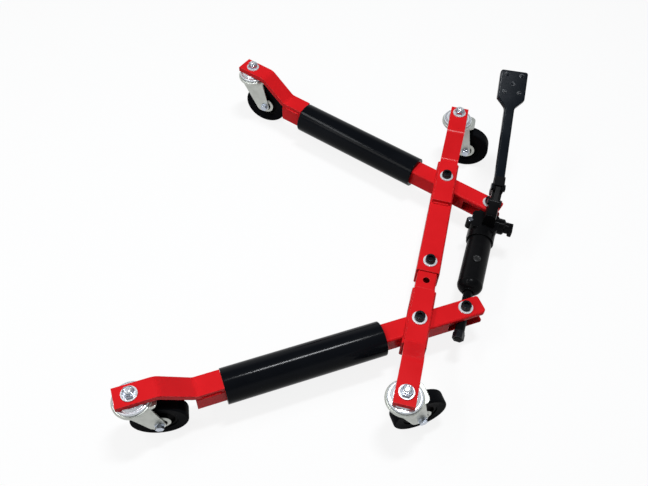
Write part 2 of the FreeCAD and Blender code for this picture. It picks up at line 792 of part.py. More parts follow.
def rod_nuts():
    """A thin ring and a long hexagon nut on the end of the rod."""
    end = -pin_distance - rod_past_pin
    hole = pin(rod_thread_dia / 2 + bolt_clear, V(0, 0, 0), V(0, 2 * end, 0))
    ring = pin(rod_ring_dia / 2, V(0, end - rod_ring_length, 0), V(0, end, 0))
    seat = end - rod_ring_length
    body = hex_along_y(rod_nut_across, seat - rod_nut_length, seat)
    return Part.makeCompound([ring.cut(hole), body.cut(hole)])


# Foot pump, built with the fulcrum's plan place at the origin and Y along the pedal


def pump_plunger():
    """A round plunger with the flange that the spring lifts and a cap that the heel presses."""
    radius = plunger_dia / 2
    across = plunger_cap_dia / 2 + heel_ahead * math.sin(pedal_skew)
    heel_face = heel_ahead * math.cos(pedal_skew) - heel_pin_dia / 2 / math.cos(pedal_skew)
    tip = heel_face - across * math.tan(pedal_skew) - swing_gap
    inner = -head_far - plunger_in
    lift = flange_place + flange_thick
    cap = plunger_cap_dia / 2
    profile = [V(0, inner, 0), V(radius, inner, 0), V(radius, flange_place, 0),
               V(flange_dia / 2, flange_place, 0), V(flange_dia / 2, lift, 0),
               V(cap, lift, 0), V(cap, tip, 0), V(0, tip, 0)]
    plunger = turned(profile, [0] * len(profile), Y_AXIS)
    plunger.translate(V(0, 0, plunger_height))
    return plunger


def pump_bolts():
    """Two like bolts across the head: the fulcrum, and the one at the root of the rib."""
    seat = cheek_outer + swing_gap
    bolts = []
    places = ((0, fulcrum_height, pedal_yaw - ram_yaw), (-rib_root_back, fulcrum_height - rib_root_drop, 0))
    for y, z, yaw in places:
        shank = pin(pump_bolt_dia / 2, V(-seat, 0, 0), V(seat, 0, 0))
        heads = []
        for start in (-seat - pump_bolt_head, seat):
            prism = hexagon(pump_bolt_hex, start, start + pump_bolt_head)
            prism.rotate(V(0, 0, 0), Y_AXIS, 90)
            heads.append(prism)
        bolts.append(at(shank.fuse(heads), 0, y, z, yaw))
    return Part.makeCompound(bolts)


def spring_path():
    """Points and directions along the wire, each a fraction of a turn apart."""
    radius = spring_dia / 2
    start = -head_far + spring_wire / 2 + swing_gap
    end = flange_place - spring_wire / 2 - swing_gap
    steps = spring_turns * spring_steps_per_turn
    rise = (end - start) / (2 * math.pi * spring_turns)
    stops = []
    for step in range(steps + 1):
        angle = 2 * math.pi * step / spring_steps_per_turn
        place = V(radius * math.cos(angle), start + rise * angle, plunger_height + radius * math.sin(angle))
        along = V(-radius * math.sin(angle), rise, radius * math.cos(angle)).normalize()
        stops.append((place, along))
    return stops


def tangent_arc(start, along, end):
    """The arc from one point to another that leaves in a given direction."""
    chord = end - start
    half = along.getAngle(chord)
    bulge = along - V(chord).normalize() * math.cos(half)
    middle = (start + end) * 0.5 + bulge.normalize() * (chord.Length / 2 * math.tan(half / 2))
    return Part.Arc(start, middle, end).toShape()


def biarc(start, start_along, end, end_along):
    """Two arcs that join smoothly between two points with given directions."""
    gap = end - start
    both = start_along + end_along
    spread = 2 * (1 - start_along.dot(end_along))
    lean = gap.dot(both)
    reach = (math.sqrt(lean ** 2 + spread * gap.dot(gap)) - lean) / spread
    joint = (start + start_along * reach + end - end_along * reach) * 0.5
    back = tangent_arc(end, end_along * -1, joint)
    return [tangent_arc(start, start_along, joint), back]


def return_spring():
    """One wire wound round the plunger between the head and the flange."""
    stops = spring_path()
    edges = []
    for (place, along), (after, after_along) in zip(stops, stops[1:]):
        edges += biarc(place, along, after, after_along)
    wire = Part.Wire(Part.__sortEdges__(edges))
    place, along = stops[0]
    section = Part.Wire(Part.makeCircle(spring_wire / 2, place, along))
    turns = [point for point, direction in stops]
    one_turn = spring_steps_per_turn
    least = min(a.distanceToPoint(b) for a, b in zip(turns, turns[one_turn:]))
    print("least gap between spring turns", round(least - spring_wire, 3))
    return wire.makePipeShell([section], True, False)


def along_lever(distance, height=0):
    """A point on the lever's own line, which rises from the fulcrum."""
    lift = math.radians(pedal_lift)
    return V(0, distance * math.cos(lift) - height * math.sin(lift),
             fulcrum_height + distance * math.sin(lift) + height * math.cos(lift))


def on_lever(shape):
    """Moves a shape drawn flat along Y onto the rising line of the lever."""
    moved = shape.copy()
    moved.rotate(V(0, 0, 0), X_AXIS, pedal_lift)
    moved.translate(V(0, 0, fulcrum_height))
    return moved


def pedal_fork():
    """Two cheeks on the fulcrum, a heel pin against the plunger, and a tongue for the lever."""
    eye = V(0, 0, fulcrum_height)
    heel = V(0, heel_ahead, fulcrum_height - heel_drop)
    root = along_lever(fork_root)
    pieces = []
    for side in (cheek_inner, -cheek_outer):
        arm = link_plate(eye, cheek_eye_radius, heel, cheek_heel_radius, cheek_thick)
        neck = link_plate(eye, cheek_eye_radius, root, fork_root_radius, cheek_thick)
        cheek = arm.fuse(neck).removeSplitter()
        cheek.translate(V(side, 0, 0))
        pieces.append(cheek)
    heel_pin = pin(heel_pin_dia / 2, V(-cheek_outer, heel.y, heel.z), V(cheek_outer, heel.y, heel.z))
    tongue_half = lever_width / 2 - lever_sheet
    ceiling = lever_depth / 2 - lever_sheet
    floor = ceiling - fork_tongue_thick
    roof = bridge_height + bridge_thick
    tongue = block(-tongue_half, tongue_half, fork_root, fork_tongue_end, floor, ceiling)
    web = block(-cheek_outer, cheek_outer, fork_root, lever_start, floor, bridge_height)
    bridge = block(-cheek_outer, cheek_outer, bridge_start, lever_start, bridge_height, roof)
    sides = []
    for x in (cheek_inner, -cheek_outer):
        sides.append(on_lever(block(x, x + cheek_thick, bridge_start, lever_start, 0, bridge_height)))
    lever_parts = [on_lever(tongue), on_lever(web), on_lever(bridge)]
    fork = pieces[0].fuse([pieces[1], heel_pin] + lever_parts + sides).removeSplitter()
    reach = cheek_outer + overrun
    hole = pin(pump_bolt_dia / 2 + running_clear, V(-reach, 0, fulcrum_height), V(reach, 0, fulcrum_height))
    return fork.cut(hole)


def lever_outline(inset, height):
    """The plan of the lever: a narrow bar that widens into the foot plate."""
    bar = lever_width / 2 - inset
    plate = plate_width / 2 - inset
    plate_start = lever_length - plate_length
    neck = plate_start - plate_shoulder
    end = lever_length - inset
    start = lever_start
    corner = plate_corner - inset / 2
    right = [(bar, start), (bar, neck), (plate, plate_start), (plate, end)]
    radii = [0, shoulder_radius + inset, corner, corner]
    points = [V(x, y, height) for x, y in right] + [V(-x, y, height) for x, y in reversed(right)]
    return outline(points, radii + radii[::-1])


def pedal_lever():
    """A pressed steel lever with turned-down edges and five raised studs on its foot plate."""
    top = lever_depth / 2
    skin = lever_outline(0, -top).extrude(V(0, 0, lever_depth))
    upper = [e for e in skin.Edges if e.BoundBox.ZMin > top - bolt_clear]
    rim = [e for e in upper if e.BoundBox.YMax > lever_start + bolt_clear]
    skin = skin.makeFillet(lever_edge, rim)
    hollow = lever_outline(lever_sheet, -top - overrun).extrude(V(0, 0, lever_depth - lever_sheet + overrun))
    mouth = block(-lever_width / 2 + lever_sheet, lever_width / 2 - lever_sheet, lever_start - overrun,
                  lever_start + overrun, -top - overrun, top - lever_sheet)
    lever = skin.cut([hollow, mouth])
    side = plate_width * stud_side_share
    near = lever_length - plate_length * (stud_end_share + stud_span_share)
    far = lever_length - plate_length * stud_end_share
    studs = []
    for x, y in ((-side, near), (side, near), (0, (near + far) / 2), (-side, far), (side, far)):
        studs.append(Part.makeCone(stud_dia / 2, stud_tip_dia / 2, stud_height, V(x, y, top)))
    return on_lever(lever.fuse(studs).removeSplitter())


# Assembly

nodes = {}


def in_frame(shape, x=0, y=0):
    """Along the cross frame: the shape's X becomes Y."""
    return at(shape, x, y, arm_height, 90)


def add_frame():
    low = sleeve_half + bar_thick / 2
    top = sleeve_half + bar_thick
    far_stem = pivot_reach + far_caster_reach
    near_stem = pivot_reach + near_caster_reach
    nodes["frame_sleeve"] = in_frame(frame_sleeve())
    nodes["frame_slider"] = in_frame(frame_slider())
    nodes["near_bracket"] = in_frame(near_bracket())
    bend = pivot_reach + frame_bend_lead
    far_bar = caster_bar(pivot_reach - far_bar_lead, bend, low, far_stem, far_bar_tip, pivot_reach)
    near_bar = caster_bar(pivot_reach - near_bar_lead, bend, low, near_stem, near_bar_tip, pivot_reach)
    nodes["far_caster_bar"] = in_frame(far_bar)
    nodes["near_caster_bar"] = at(near_bar, 0, 0, arm_height, -90)
    bolts = []
    washers = []
    nuts = []
    for place, height in ((pivot_reach, top), (-pivot_reach, top), (-lock_bolt_place, sleeve_half)):
        bolt, pair, lock = bolted_set(height, -sleeve_half)
        bolts.append(at(bolt, 0, place, arm_height))
        washers += [at(ring, 0, place, arm_height) for ring in pair]
        nuts.append(at(lock, 0, place, arm_height))
    seat = caster_height + bar_thick
    stems = [at(caster_stem(), 0, far_stem, 0), at(caster_stem(), 0, -near_stem, 0)]
    stem_nuts = [at(nut(), 0, far_stem, seat + washer_thick), at(nut(), 0, -near_stem, seat + washer_thick)]
    races = [at(upper_race(), 0, far_stem, 0), at(upper_race(), 0, -near_stem, 0)]
    washers += [at(washer(), 0, far_stem, seat), at(washer(), 0, -near_stem, seat)]
    nodes["frame_bolts"] = Part.makeCompound(bolts)
    nodes["frame_washers"] = Part.makeCompound(washers)
    nodes["frame_lock_nuts"] = Part.makeCompound(nuts)
    nodes["frame_caster_stems"] = Part.makeCompound(stems)
    nodes["frame_stem_nuts"] = Part.makeCompound(stem_nuts)
    nodes["frame_upper_races"] = Part.makeCompound(races)
    add_caster("far_frame", V(0, far_stem, 0), far_frame_trail_angle)
    add_caster("near_frame", V(0, -near_stem, 0), near_frame_trail_angle)


def add_caster(name, place, trail_angle):
    """The swivelling fork and its wheel under one bar."""
    pieces = {"caster_fork": caster_fork(), "caster_axle": caster_axle(),
              "caster_tyre": caster_tyre(), "caster_hub": caster_hub()}
    for piece, shape in pieces.items():
        nodes[name + "_" + piece] = at(shape, place.x, place.y, 0, trail_angle)


def add_arm(name, side, angle, tail_reach, trail_angle):
    """One arm with its roller, tail fittings and caster; side is 1 for far and -1 for near."""
    yaw = 180 - side * angle
    pivot_y = side * pivot_reach

    def placed(shape, z=arm_height):
        return at(shape, 0, pivot_y, z, yaw)

    low = arm_half + bar_thick / 2
    bar = caster_bar(arm_bar_start, arm_tube_end - arm_bend_back, low, arm_caster_reach, arm_bar_tip)
    bolt, washers, lock = bolted_set(arm_half, -arm_half)
    washers.append(at(washer(), arm_caster_reach + tail_reach, 0, caster_height + bar_thick - arm_height))
    shift = V(-tail_reach, 0, 0)
    for piece in [bolt, lock] + washers:
        piece.translate(shift)
    seat = caster_height + bar_thick + washer_thick
    nodes[name + "_tube"] = placed(arm_tube(tail_reach))
    nodes[name + "_caster_bar"] = placed(bar)
    nodes[name + "_pivot_bush"] = placed(pivot_bush())
    nodes[name + "_roller"] = placed(roller())
    nodes[name + "_tail_bolt"] = placed(bolt)
    nodes[name + "_tail_nut"] = placed(lock)
    nodes[name + "_washers"] = placed(Part.makeCompound(washers))
    nodes[name + "_caster_stem"] = placed(at(caster_stem(), arm_caster_reach, 0, 0), 0)
    nodes[name + "_stem_nut"] = placed(at(nut(), arm_caster_reach, 0, seat), 0)
    nodes[name + "_upper_race"] = placed(at(upper_race(), arm_caster_reach, 0, 0), 0)
    turn = math.radians(yaw)
    place = V(arm_caster_reach * math.cos(turn), pivot_y + arm_caster_reach * math.sin(turn), 0)
    add_caster(name, place, trail_angle)


def add_ram():
    pieces = {"ram_cylinder": ram_cylinder(), "filler_plug": filler_plug(), "pump_block": pump_block(),
              "bleed_screw": bleed_screw(), "release_valve": release_valve(), "ram_rod": ram_rod(),
              "rod_nuts": rod_nuts()}
    in_pump = {"pump_plunger": pump_plunger(), "pump_bolts": pump_bolts(), "return_spring": return_spring()}
    for name, shape in in_pump.items():
        pieces[name] = in_head(shape)
    pieces["pedal_fork"] = in_pedal(pedal_fork())
    pieces["pedal_lever"] = in_pedal(pedal_lever())
    for name, shape in pieces.items():
        nodes[name] = at(shape, far_tail.x, far_tail.y, far_tail.z, ram_yaw)


add_frame()
add_arm("far_arm", 1, far_arm_angle, far_tail_reach, far_arm_trail_angle)
add_arm("near_arm", -1, near_arm_angle, near_tail_reach, near_arm_trail_angle)
add_ram()

# The origin stands on the floor under the middle of the whole jack
extent = Part.makeCompound(list(nodes.values())).optimalBoundingBox(False, False)
origin = V(extent.Center.x, extent.Center.y, extent.ZMin)
os.makedirs("parts", exist_ok=True)
for name, shape in nodes.items():
    shape.translate(origin * -1)
    shape.exportStep("parts/" + name + ".step")
print(len(nodes), "nodes, origin", [round(v, 3) for v in origin])
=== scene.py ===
import json
import math
import random

import bmesh
import bpy
from mathutils import Matrix, Vector


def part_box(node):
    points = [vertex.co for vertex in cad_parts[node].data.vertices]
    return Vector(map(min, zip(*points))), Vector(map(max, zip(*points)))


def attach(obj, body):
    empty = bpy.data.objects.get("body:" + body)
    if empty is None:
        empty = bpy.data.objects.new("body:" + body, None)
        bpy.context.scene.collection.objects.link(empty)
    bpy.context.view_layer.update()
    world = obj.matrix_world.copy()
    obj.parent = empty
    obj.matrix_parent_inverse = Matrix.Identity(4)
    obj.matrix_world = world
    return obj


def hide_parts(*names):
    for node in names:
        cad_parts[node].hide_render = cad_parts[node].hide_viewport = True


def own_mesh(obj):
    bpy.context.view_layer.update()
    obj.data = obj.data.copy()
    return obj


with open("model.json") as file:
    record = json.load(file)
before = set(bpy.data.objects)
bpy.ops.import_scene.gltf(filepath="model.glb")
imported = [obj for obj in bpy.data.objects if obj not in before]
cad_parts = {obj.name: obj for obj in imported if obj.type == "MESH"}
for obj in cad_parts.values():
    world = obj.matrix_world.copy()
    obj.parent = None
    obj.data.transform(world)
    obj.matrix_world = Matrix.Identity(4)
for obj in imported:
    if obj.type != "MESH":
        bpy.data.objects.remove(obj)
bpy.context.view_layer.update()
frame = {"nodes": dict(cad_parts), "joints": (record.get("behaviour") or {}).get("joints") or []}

# The tubes of the cross frame: a square sleeve with windows for the far arm, and the smaller slider
# that telescopes in it. Both are cut from hot-rolled steel tube and powder coated in a gloss red.
nodes = frame["nodes"]
noise_band = (0.3, 0.7)
edge_turn = (0.985, 0.86)
edge_breakup = (0.42, 0.62)
edge_samples = 6
clear_roughness = 0.12


def shader_group(name, inputs, outputs):
    """An empty shader node group with named sockets, and its inner input and output nodes."""
    group = bpy.data.node_groups.new(name, "ShaderNodeTree")
    for label, value in inputs.items():
        socket = group.interface.new_socket(label, in_out="INPUT", socket_type="NodeSocketFloat")
        socket.default_value = value
    for label, kind in outputs.items():
        group.interface.new_socket(label, in_out="OUTPUT", socket_type=kind)
    return group, group.nodes.new("NodeGroupInput"), group.nodes.new("NodeGroupOutput")


def noise_field(tree, scale_from, detail, roughness=0.5):
    """Noise in the object's own metres, its scale taken from a socket."""
    place = tree.nodes.new("ShaderNodeTexCoord")
    field = tree.nodes.new("ShaderNodeTexNoise")
    field.inputs["Detail"].default_value = detail
    field.inputs["Roughness"].default_value = roughness
    tree.links.new(place.outputs["Object"], field.inputs["Vector"])
    tree.links.new(scale_from, field.inputs["Scale"])
    return field.outputs["Fac"]


def spread(tree, value, span, new_span=(0.0, 1.0)):
    """Stretches a value from one range to another; the ends of the new range may be sockets."""
    remap = tree.nodes.new("ShaderNodeMapRange")
    remap.inputs["From Min"].default_value = span[0]
    remap.inputs["From Max"].default_value = span[1]
    for label, end in zip(("To Min", "To Max"), new_span):
        if isinstance(end, (int, float)):
            remap.inputs[label].default_value = end
        else:
            tree.links.new(end, remap.inputs[label])
    tree.links.new(value, remap.inputs["Value"])
    return remap.outputs["Result"]


def sprayed_coat_group():
    """Colour drift, uneven gloss and the orange-peel skin of a sprayed or powder coat."""
    inputs = {"Drift Scale": 14.0, "Peel Scale": 420.0, "Gloss Low": 0.2, "Gloss High": 0.3}
    outputs = {"Drift": "NodeSocketFloat", "Roughness": "NodeSocketFloat", "Peel": "NodeSocketFloat"}
    group, given, out = shader_group("sprayed_coat", inputs, outputs)
    drift = noise_field(group, given.outputs["Drift Scale"], detail=3.0)
    peel = noise_field(group, given.outputs["Peel Scale"], detail=1.0)
    gloss = (given.outputs["Gloss Low"], given.outputs["Gloss High"])
    group.links.new(spread(group, drift, noise_band), out.inputs["Drift"])
    group.links.new(spread(group, drift, noise_band, gloss), out.inputs["Roughness"])
    group.links.new(peel, out.inputs["Peel"])
    return group


def rounded_edge_group():
    """A softened normal and a mask along the edges, for a coat thinned or metal rubbed there, and on some
    finishes for a painted highlight along the edge.
    """
    inputs = {"Radius": 0.001, "Breakup Scale": 160.0}
    outputs = {"Normal": "NodeSocketVector", "Edge": "NodeSocketFloat"}
    group, given, out = shader_group("rounded_edge", inputs, outputs)
    bevel = group.nodes.new("ShaderNodeBevel")
    bevel.samples = edge_samples
    group.links.new(given.outputs["Radius"], bevel.inputs["Radius"])
    flat = group.nodes.new("ShaderNodeNewGeometry")
    dot = group.nodes.new("ShaderNodeVectorMath")
    dot.operation = "DOT_PRODUCT"
    group.links.new(bevel.outputs["Normal"], dot.inputs[0])
    group.links.new(flat.outputs["Normal"], dot.inputs[1])
    sharp = spread(group, dot.outputs["Value"], edge_turn)
    broken = spread(group, noise_field(group, given.outputs["Breakup Scale"], detail=4.0), edge_breakup)
    both = group.nodes.new("ShaderNodeMath")
    both.operation = "MULTIPLY"
    group.links.new(sharp, both.inputs[0])
    group.links.new(broken, both.inputs[1])
    group.links.new(bevel.outputs["Normal"], out.inputs["Normal"])
    group.links.new(both.outputs["Value"], out.inputs["Edge"])
    return group


sprayed_coat = sprayed_coat_group()
rounded_edge = rounded_edge_group()


def new_finish(name):
    """A material with its Principled shader, ready for nodes."""
    finish = bpy.data.materials.new(name)
    finish.use_nodes = True
    return finish, finish.node_tree, finish.node_tree.nodes["Principled BSDF"]


def place_group(tree, group, **values):
    """Puts a shared group in a material with that finish's own values."""
    holder = tree.nodes.new("ShaderNodeGroup")
    holder.node_tree = group
    for label, value in values.items():
        holder.inputs[label.replace("_", " ").title()].default_value = value
    return holder


def mix_colours(tree, mask, first, second):
    """Goes from one colour to another by a mask; either colour may be a socket."""
    mix = tree.nodes.new("ShaderNodeMix")
    mix.data_type = "RGBA"
    first_end, second_end, mixed = mix.inputs[6], mix.inputs[7], mix.outputs[2]
    tree.links.new(mask, mix.inputs["Factor"])
    for socket, colour in ((first_end, first), (second_end, second)):
        if isinstance(colour, tuple):
            socket.default_value = (*colour, 1.0)
        else:
            tree.links.new(colour, socket)
    return mixed


def raise_surface(tree, height, depth, strength, normal=None):
    """A bump of real depth in metres, over a softened normal where there is one."""
    bump = tree.nodes.new("ShaderNodeBump")
    bump.inputs["Distance"].default_value = depth
    bump.inputs["Strength"].default_value = strength
    tree.links.new(height, bump.inputs["Height"])
    if normal is not None:
        tree.links.new(normal, bump.inputs["Normal"])
    return bump.outputs["Normal"]


def coat_finish(name, deep, light, gloss, peel_scale, peel_depth, shine, edge_wear_and_highlight=None, edge_radius=None,
                clear=0.0, drift_scale=14.0, peel_strength=0.5):
    """A sprayed or moulded skin: drifting colour, fine orange peel and, where given, edges in another
    colour: worn paint, and on some finishes a painted highlight.
    """
    finish, tree, shader = new_finish(name)
    skin = place_group(tree, sprayed_coat, drift_scale=drift_scale, peel_scale=peel_scale,
                       gloss_low=gloss[0], gloss_high=gloss[1])
    colour = mix_colours(tree, skin.outputs["Drift"], deep, light)
    softened = None
    if edge_wear_and_highlight is not None:
        edge = place_group(tree, rounded_edge, radius=edge_radius)
        colour = mix_colours(tree, edge.outputs["Edge"], colour, edge_wear_and_highlight)
        softened = edge.outputs["Normal"]
    normal = raise_surface(tree, skin.outputs["Peel"], peel_depth, peel_strength, softened)
    tree.links.new(colour, shader.inputs["Base Color"])
    tree.links.new(skin.outputs["Roughness"], shader.inputs["Roughness"])
    tree.links.new(normal, shader.inputs["Normal"])
    shader.inputs["Coat Weight"].default_value = clear
    shader.inputs["Coat Roughness"].default_value = clear_roughness
    shader.inputs["Specular IOR Level"].default_value = shine
    return finish


def dress(names, finish):
    """Gives CAD nodes their finish."""
    for name in names:
        mesh = nodes[name].data
        mesh.materials.clear()
        mesh.materials.append(finish)


# The red's edges are painted a lighter pink: partly the coat thinning there, partly a painted highlight
# along the rounded edges of tubes and bars.
red_coat = coat_finish("red_powder_coat", deep=(0.58, 0.010, 0.013), light=(0.66, 0.013, 0.017),
                       edge_wear_and_highlight=(0.80, 0.11, 0.115), gloss=(0.2, 0.28), peel_scale=480.0,
                       peel_depth=0.00004, edge_radius=0.0014, shine=0.03, clear=0.03)
dress(["frame_sleeve", "frame_slider"], red_coat)

# The frame's caster bars: flat steel bar bent cold in an S, lying on top of the tubes. Each is welded
# across its inner end and in stitches along its edges, as rippled beads under the same red coat.
bead_pitch = 0.0026
bead_samples_per_pitch = 4
bead_sides = 8
bead_swell = (0.86, 1.12)
bead_end_share = 0.55
bead_end_slope = 4.0
bead_valley_share = 0.84
bead_crest_share = 0.2


def skin_rings(name, rings, looped, smooth, finish, body):
    """A closed skin through rings of points; the last ring meets the first, or both ends are capped."""
    mesh = bmesh.new()
    loops = [[mesh.verts.new(point) for point in ring] for ring in rings]
    pairs = list(zip(loops, loops[1:]))
    if looped:
        pairs.append((loops[-1], loops[0]))
    else:
        mesh.faces.new(reversed(loops[0]))
        mesh.faces.new(loops[-1])
    for ring, after in pairs:
        for step in range(len(ring)):
            ahead = (step + 1) % len(ring)
            mesh.faces.new((ring[step], ring[ahead], after[ahead], after[step]))
    bmesh.ops.recalc_face_normals(mesh, faces=mesh.faces)
    data = bpy.data.meshes.new(name)
    mesh.to_mesh(data)
    mesh.free()
    if smooth:
        data.shade_smooth()
    data.materials.append(finish)
    piece = bpy.data.objects.new(name, data)
    bpy.context.scene.collection.objects.link(piece)
    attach(piece, body)
    return piece


def weld_run(name, start, end, radius, body, seed):
    """A rippled weld bead from one point to another, thinner at both ends."""
    draw = random.Random(seed)
    along = end - start
    count = max(2, round(along.length / bead_pitch)) * bead_samples_per_pitch
    side = along.normalized().orthogonal()
    up = along.normalized().cross(side)
    rings = []
    swell = 1.0
    for step in range(count + 1):
        share = step / count
        phase = (step % bead_samples_per_pitch) / bead_samples_per_pitch
        if phase == 0:
            swell = draw.uniform(*bead_swell)
        from_end = min(share, 1.0 - share)
        taper = min(1.0, bead_end_share + bead_end_slope * from_end)
        ripple = bead_valley_share + bead_crest_share * math.sin(math.pi * phase)
        size = radius * swell * taper * ripple
        middle = start + along * share
        ring = []
        for turn in range(bead_sides):
            angle = 2 * math.pi * turn / bead_sides
            ring.append(middle + (side * math.cos(angle) + up * math.sin(angle)) * size)
        rings.append(ring)
    skin_rings(name, rings, False, True, red_coat, body)


weld_radius = 0.0024
stitch_share = 0.8
stitch_radius = weld_radius * stitch_share
stitch_length = 0.034
stitch_leads = (0.004, 0.074)
stitch_seed_step = 10
end_weld_inset = 0.001
frame_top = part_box("frame_sleeve")[1].z
for name, toward in (("far_caster_bar", 1), ("near_caster_bar", -1)):
    dress([name], red_coat)
    low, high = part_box(name)
    end_y = low.y if toward == 1 else high.y
    start = Vector((low.x + end_weld_inset, end_y, frame_top))
    end = Vector((high.x - end_weld_inset, end_y, frame_top))
    weld_run(name + "_end_weld", start, end, weld_radius, "frame", seed=len(name))
    for count, x in enumerate((low.x, high.x)):
        for part, lead in enumerate(stitch_leads):
            begin = end_y + toward * lead
            start = Vector((x, begin, frame_top))
            end = Vector((x, begin + toward * stitch_length, frame_top))
            weld_run(f"{name}_side_weld_{count}{part}", start, end, stitch_radius, "frame",
                     seed=stitch_seed_step * count + part)

# The near bracket: a short length of larger square tube with windows for the near arm. It stands at
# the end of the slider and is welded round it with four short beads, under the same red coat.
dress(["near_bracket"], red_coat)
bracket_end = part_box("near_bracket")[1].y
slider_low, slider_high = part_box("frame_slider")
corner_inset = 0.004
bracket_weld_seed = 40
left, right = slider_low.x, slider_high.x
bottom, top = slider_low.z, slider_high.z
slider_faces = [((left, bottom + corner_inset), (left, top - corner_inset)),
                ((right, bottom + corner_inset), (right, top - corner_inset)),
                ((left + corner_inset, bottom), (right - corner_inset, bottom)),
                ((left + corner_inset, top), (right - corner_inset, top))]
for count, (first, last) in enumerate(slider_faces):
    start = Vector((first[0], bracket_end, first[1]))
    end = Vector((last[0], bracket_end, last[1]))
    weld_run(f"bracket_weld_{count}", start, end, weld_radius, "frame", seed=bracket_weld_seed + count)

# The arms: the same square tube as the slider, slotted at the tail for the ram, with a bent flat bar
# welded on the outer end for the caster. They swing on the pivot bolts, and all is coated red.
joint_place = {j["name"]: Vector(j.get("pos_m", (0, 0, 0))) for j in frame["joints"]}
joint_axis = {j["name"]: Vector(j["axis"]) for j in frame["joints"]}
upright = Vector((0, 0, 1))
arms = ("far_arm", "near_arm")
arm_weld_reach = (0.366, 0.400)
arm_weld_half = 0.0185
arm_weld_seed = 60
for arm in arms:
    dress([arm + "_tube", arm + "_caster_bar"], red_coat)
    pivot = joint_place[arm + "_swing"]
    along = joint_axis[arm + "_roller_spin"]
    aside = upright.cross(along)
    tube_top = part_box(arm + "_tube")[1].z
    for count, sign in enumerate((1, -1)):
        ends = [pivot + along * reach + aside * (sign * arm_weld_half) for reach in arm_weld_reach]
        for end in ends:
            end.z = tube_top
        weld_run(f"{arm}_bar_weld_{count}", ends[0], ends[1], stitch_radius, arm,
                 seed=arm_weld_seed + count)

# The rollers: lengths of steel pipe that turn freely on the arm tubes under the tyre. The pipe is cut
# to length and finished in a smooth gloss black.
roller_black = coat_finish("roller_gloss_black", deep=(0.0030, 0.0036, 0.0050),
                           light=(0.0050, 0.0058, 0.0076), edge_wear_and_highlight=(0.012, 0.013, 0.015),
                           gloss=(0.11, 0.15), peel_scale=260.0, peel_depth=0.00001,
                           edge_radius=0.0012, shine=0.05, drift_scale=9.0, peel_strength=0.12)
dress(["far_arm_roller", "near_arm_roller"], roller_black)

# The bolts: socket-head cap screws of black-oxide steel, put down through the tubes. The heads are
# knurled so that they can be started by hand, and below the nuts a few turns of thread show.
cloud_band = (0.32, 0.68)
grain_strength = 0.4
merge_distance = 1e-6


def brushed_metal_group():
    """Fine grain and slow cloudiness of plated or oiled steel."""
    inputs = {"Cloud Scale": 40.0, "Grain Scale": 900.0, "Gloss Low": 0.2, "Gloss High": 0.4}
    outputs = {"Cloud": "NodeSocketFloat", "Roughness": "NodeSocketFloat", "Grain": "NodeSocketFloat"}
    group, given, out = shader_group("brushed_metal", inputs, outputs)
    cloud = noise_field(group, given.outputs["Cloud Scale"], detail=4.0, roughness=0.6)
    grain = noise_field(group, given.outputs["Grain Scale"], detail=2.0)
    gloss = (given.outputs["Gloss Low"], given.outputs["Gloss High"])
    group.links.new(spread(group, cloud, cloud_band), out.inputs["Cloud"])
    group.links.new(spread(group, grain, noise_band, gloss), out.inputs["Roughness"])
    group.links.new(grain, out.inputs["Grain"])
    return group


brushed_metal = brushed_metal_group()


def metal_finish(name, deep, light, rubbed, metallic, gloss, grain_depth, edge_radius, shine=0.5):
    """Plated, oiled or polished steel: cloudy colour, fine grain, brighter edges."""
    finish, tree, shader = new_finish(name)
    grain = place_group(tree, brushed_metal, gloss_low=gloss[0], gloss_high=gloss[1])
    edge = place_group(tree, rounded_edge, radius=edge_radius)
    body = mix_colours(tree, grain.outputs["Cloud"], deep, light)
    colour = mix_colours(tree, edge.outputs["Edge"], body, rubbed)
    normal = raise_surface(tree, grain.outputs["Grain"], grain_depth, grain_strength, edge.outputs["Normal"])
    tree.links.new(colour, shader.inputs["Base Color"])
    tree.links.new(grain.outputs["Roughness"], shader.inputs["Roughness"])
    tree.links.new(normal, shader.inputs["Normal"])
    shader.inputs["Metallic"].default_value = metallic
    shader.inputs["Specular IOR Level"].default_value = shine
    return finish


def separate_boxes(name):
    """Lowest and highest corners of each separate solid in a node."""
    copy = bmesh.new()
    copy.from_mesh(nodes[name].data)
    bmesh.ops.remove_doubles(copy, verts=copy.verts, dist=merge_distance)
    left = set(copy.verts)
    found = []
    while left:
        waiting = [left.pop()]
        corners = []
        while waiting:
            vert = waiting.pop()
            corners.append(vert.co.copy())
            for link in vert.link_edges:
                other = link.other_vert(vert)
                if other in left:
                    left.remove(other)
                    waiting.append(other)
        found.append((Vector(map(min, zip(*corners))), Vector(map(max, zip(*corners)))))
    copy.free()
    return sorted(found, key=lambda box: tuple(box[0]))


def ringed_piece(name, base, axis, rows, finish, body):
    """A closed sleeve round an axis; each row is a height and the radius at each step of the turn."""
    side = axis.orthogonal().normalized()
    other = axis.cross(side)
    rings = []
    for height, radii in rows:
        ring = []
        for step, radius in enumerate(radii):
            angle = 2 * math.pi * step / len(radii)
            outward = side * math.cos(angle) + other * math.sin(angle)
            ring.append(base + axis * height + outward * radius)
        rings.append(ring)
    skin_rings(name, rings, True, False, finish, body)


head_height = 0.010
head_radius = 0.00925
knurl_depth = 0.0003
knurl_count = 44
knurl_valley_share = 0.3
knurl_rim_share = 1 / 6
knurl_bottom_margin = 0.001
knurl_top_margin = 0.0018
knurl_slope = 0.0004


def knurl_rows():
    """Rows of a thin toothed sleeve round the side of a cap head."""
    steps = 2 * knurl_count
    inner = [head_radius - knurl_depth] * steps
    level = [head_radius - knurl_depth * knurl_rim_share] * steps
    crest, valley = head_radius + knurl_depth, head_radius - knurl_depth * knurl_valley_share
    teeth = [crest if step % 2 else valley for step in range(steps)]
    bottom, top = knurl_bottom_margin, head_height - knurl_top_margin
    return [(bottom, inner), (bottom, level), (bottom + knurl_slope, teeth),
            (top - knurl_slope, teeth), (top, level), (top, inner)]


thread_steps = 28
thread_rows_per_pitch = 6
thread_least_rows = 4
thread_ridge_share = 0.9
thread_root_share = 0.05


